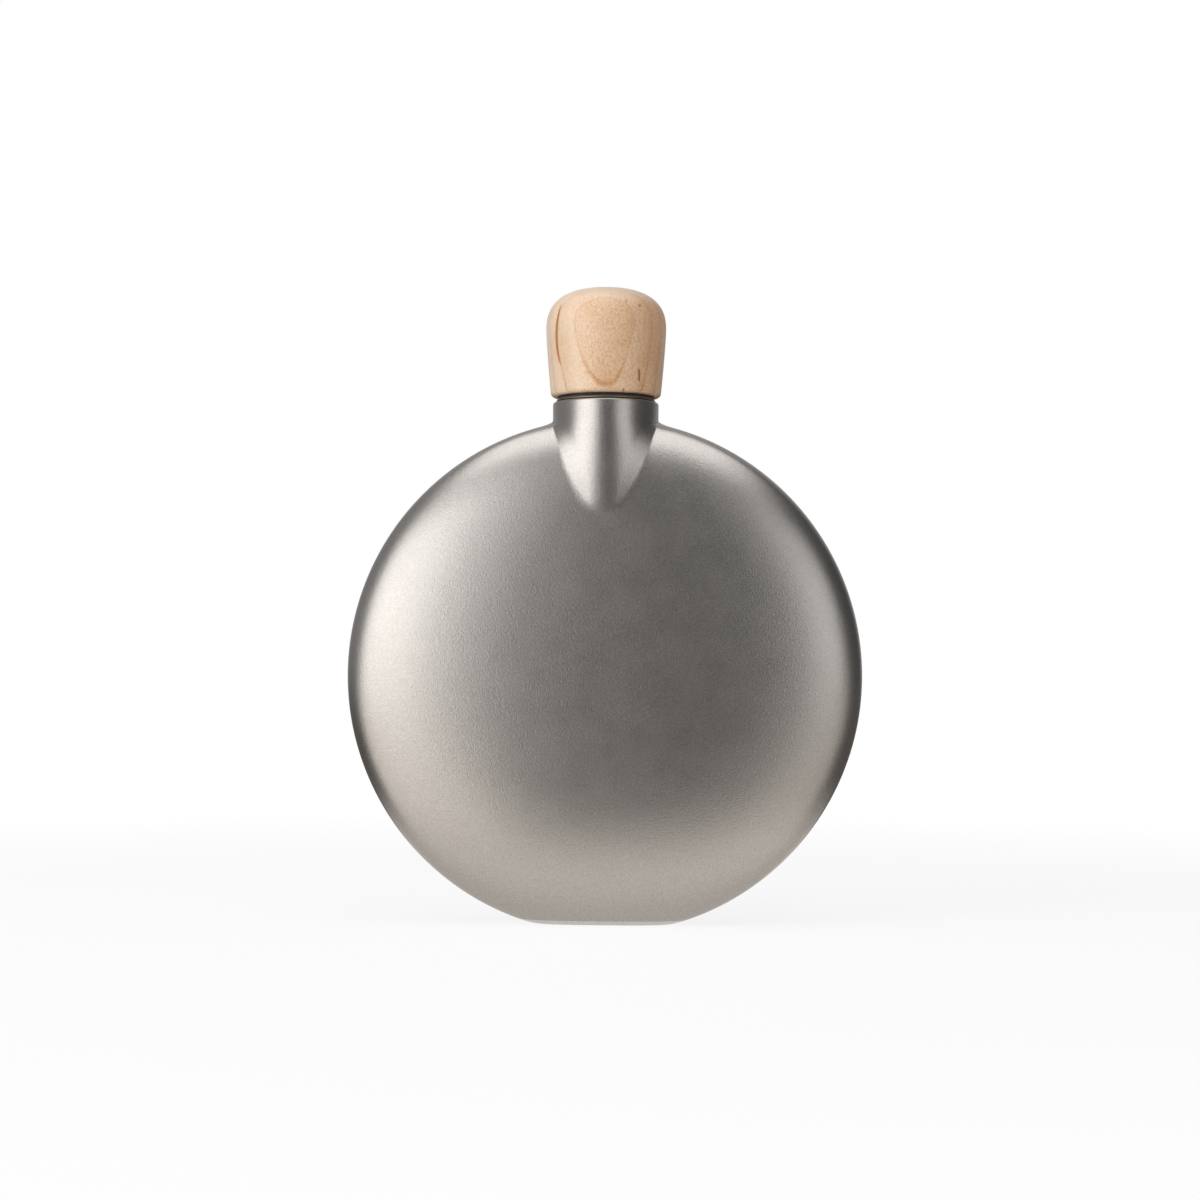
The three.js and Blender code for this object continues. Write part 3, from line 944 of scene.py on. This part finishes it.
studio = {
    "ambient": 0.15,
    "facing": 2.2,  # degrees that the camera and the lights stand to the right of the flask's front
    "floorGlow": 0.86,  # share of the floor that is plain white to the camera and in reflections
    "floorFade": (0.15, 0.45),  # from where to where the floor turns all white
    "floorSize": 30,
    "wall": 1.6,  # from the flask, and so far the cards on the floor reach
    "wallHeight": 2.4,
    "wallSides": 64,
    "wallGlow": {"left": 0.27, "front": 0.07, "right": 0.08, "back": 0.46},
    "cards": {  # cards on the floor round the flask: from and to in degrees, and how light they are
        "left_card": (-76, -22.5, 1.08),
        "front_card": (-22.5, 24, 0.12),
        "right_card": (24, 66, 0.60),
        "back_card": (66, 284, 0.12),
    },
    "cardSides": 40,
    "cardNear": 0.82,  # how light they are at the flask
    "cardColor": (1.0, 0.96, 0.915, 1.0),
    "cardShade": (0.004, 0.028, 0.80),  # from and to in front of the flask, and how dark they start there
    "cardEdge": (0.060, 0.120),  # between where and where they turn to their own tone
    "key": {"azimuth": -42.6, "elevation": 5.5, "distance": 0.95, "size": (0.81, 0.99), "glow": 1.82},
    "fill": {"azimuth": 38.2, "elevation": 6, "distance": 0.95, "size": (0.52, 0.85), "glow": 0.89},
    "wash": {"azimuth": -58, "elevation": 28, "distance": 0.95, "size": (0.50, 0.50), "glow": 2.7},
    "top": {"azimuth": -9, "elevation": 75.7, "distance": 0.93, "size": (1.20, 1.05), "glow": 1.5},
}
aim = np.array((0, 0, bodyCentre))


def seenDirectly(tree):
    # 1 for what the camera, a reflection or a clear body sees, and 0 for light on other surfaces
    path = addNode(tree, "ShaderNodeLightPath").outputs
    seen = calc(tree, "ADD", path["Is Camera Ray"], path["Is Glossy Ray"])
    seen = calc(tree, "ADD", seen, path["Is Transmission Ray"])
    return calc(tree, "MINIMUM", seen, 1.0)


def makeWorld():
    world = bpy.data.worlds.new("studio")
    world.use_nodes = True
    tree = world.node_tree
    background = tree.nodes["Background"]
    background.inputs[0].default_value = (1, 1, 1, 1)
    strength = spread(tree, seenDirectly(tree), 0.0, 1.0, studio["ambient"], 1.0)
    tree.links.new(strength, background.inputs[1])
    bpy.context.scene.world = world


def makeFloor():
    mesh = bpy.data.meshes.new("floor")
    size = studio["floorSize"]
    corners = [(-size, -size, 0), (size, -size, 0), (size, size, 0), (-size, size, 0)]
    mesh.from_pydata(corners, [], [(0, 1, 2, 3)])
    floor = bpy.data.objects.new("floor", mesh)
    bpy.context.scene.collection.objects.link(floor)
    material = bpy.data.materials.new("pale floor")
    material.use_nodes = True
    tree = material.node_tree
    tree.nodes.remove(tree.nodes["Principled BSDF"])
    place = addNode(tree, "ShaderNodeTexCoord").outputs["Object"]
    matte = addNode(tree, "ShaderNodeBsdfDiffuse", {"Color": (0.9, 0.9, 0.9, 1)}).outputs[0]
    white = addNode(tree, "ShaderNodeEmission", {"Color": (1, 1, 1, 1), "Strength": 1.0}).outputs[0]
    away = addNode(tree, "ShaderNodeVectorMath", {0: place}, operation="LENGTH").outputs["Value"]
    glow = spread(tree, away, *studio["floorFade"], studio["floorGlow"], 1.0)
    share = calc(tree, "MULTIPLY", seenDirectly(tree), glow)
    mixed = addNode(tree, "ShaderNodeMixShader", {0: share, 1: matte, 2: white}).outputs[0]
    tree.links.new(mixed, tree.nodes["Material Output"].inputs[0])
    mesh.materials.append(material)


def makeCard(name, points, faces, color, tone):
    # a wall or card of the studio that only the metal's reflections see
    mesh = bpy.data.meshes.new(name)
    mesh.from_pydata(points, [], faces)
    card = bpy.data.objects.new(name, mesh)
    bpy.context.scene.collection.objects.link(card)
    material = bpy.data.materials.new(name)
    material.use_nodes = True
    tree = material.node_tree
    tree.nodes.remove(tree.nodes["Principled BSDF"])
    place = addNode(tree, "ShaderNodeTexCoord").outputs["Object"]
    lit = addNode(tree, "ShaderNodeEmission", {"Color": color, "Strength": tone(tree, place)}).outputs[0]
    tree.links.new(lit, tree.nodes["Material Output"].inputs[0])
    mesh.materials.append(material)
    card.visible_camera = False
    card.visible_diffuse = False
    card.visible_shadow = False


def makeWall():
    far = studio["wall"]
    sides = studio["wallSides"]
    turn = 2 * np.pi * np.arange(sides) / sides
    around = np.stack([np.cos(turn), np.sin(turn)], 1) * far
    low = np.concatenate([around, np.full((sides, 1), 0.002)], 1)
    high = np.concatenate([around, np.full((sides, 1), studio["wallHeight"])], 1)
    faces = gridFaces(2, sides, False, True) + [tuple(range(sides, 2 * sides))]

    def wallTone(tree, place):
        x, y, _ = addNode(tree, "ShaderNodeSeparateXYZ", {0: place}).outputs
        tones = studio["wallGlow"]
        tone = spread(tree, x, -far, 0.0, tones["left"], tones["front"])
        tone = spread(tree, x, 0.0, far, tone, tones["right"])
        return spread(tree, y, 0.5 * far, far, tone, tones["back"])

    makeCard("studio_wall", np.concatenate([low, high]).tolist(), faces, (1, 1, 1, 1), wallTone)


def makeFloorCards():
    begin, full = studio["cardEdge"]
    sides = studio["cardSides"]
    for name, (start, end, glow) in studio["cards"].items():
        turn = np.radians(studio["facing"] + np.linspace(start, end, sides))
        rim = np.stack([np.sin(turn), -np.cos(turn), 0 * turn], 1)
        points = np.concatenate([rim * 0.1 * begin, rim * studio["wall"]]) + (0, 0, 0.001)

        def cardTone(tree, place):
            away = addNode(tree, "ShaderNodeVectorMath", {0: place}, operation="LENGTH").outputs["Value"]
            tone = spread(tree, away, begin, full, studio["cardNear"], glow)
            gap = calc(tree, "ABSOLUTE", addNode(tree, "ShaderNodeSeparateXYZ", {0: place}).outputs["Y"])
            shadeFrom, shadeTo, shade = studio["cardShade"]
            return calc(tree, "MULTIPLY", tone, spread(tree, gap, shadeFrom, shadeTo, shade, 1.0))

        makeCard(name, points.tolist(), gridFaces(2, sides), studio["cardColor"], cardTone)


def pointAt(thing, target):
    way = np.array(target) - np.array(thing.location)
    flat = math.hypot(way[0], way[1])
    thing.rotation_euler = (math.pi / 2 + math.atan2(way[2], flat), 0, math.atan2(-way[0], way[1]))


def makeSoftbox(name, look):
    width, tall = look["size"]
    lamp = bpy.data.lights.new(name, "AREA")
    lamp.shape = "RECTANGLE"
    lamp.size = width
    lamp.size_y = tall
    lamp.energy = look["glow"] * math.pi * width * tall
    box = bpy.data.objects.new(name, lamp)
    bpy.context.scene.collection.objects.link(box)
    side = math.radians(studio["facing"] + look["azimuth"])
    lift = math.radians(look["elevation"])
    way = np.array((math.sin(side) * math.cos(lift), -math.cos(side) * math.cos(lift), math.sin(lift)))
    box.location = aim + way * look["distance"]
    pointAt(box, aim)
    box.visible_camera = False
    return box


makeWorld()
makeFloor()
makeWall()
makeFloorCards()
for boxName in ("key", "fill", "top"):
    makeSoftbox(boxName, studio[boxName])
makeSoftbox("wash", studio["wash"]).visible_glossy = False  # lights the wood, and isn't mirrored in the metal
print("studio lit")

view = {
    "distance": 0.538,  # camera to the middle of the flask
    "lens": 72.0,
    "side": -0.00096,
    "shift": 0.0633,
    "roll": -0.33,  # degrees
}
camera = bpy.data.objects.new("camera", bpy.data.cameras.new("camera"))
camera.data.lens = view["lens"]
camera.data.sensor_width = 36
camera.data.shift_y = view["shift"]
facing = math.radians(studio["facing"])
camera.location = (
    view["side"] * math.cos(facing) + view["distance"] * math.sin(facing),
    view["side"] * math.sin(facing) - view["distance"] * math.cos(facing),
    bodyCentre,
)
camera.rotation_euler = (math.pi / 2, math.radians(view["roll"]), facing)
bpy.context.scene.collection.objects.link(camera)
bpy.context.scene.camera = camera
bpy.context.scene.view_settings.view_transform = "Standard"
print("camera set")
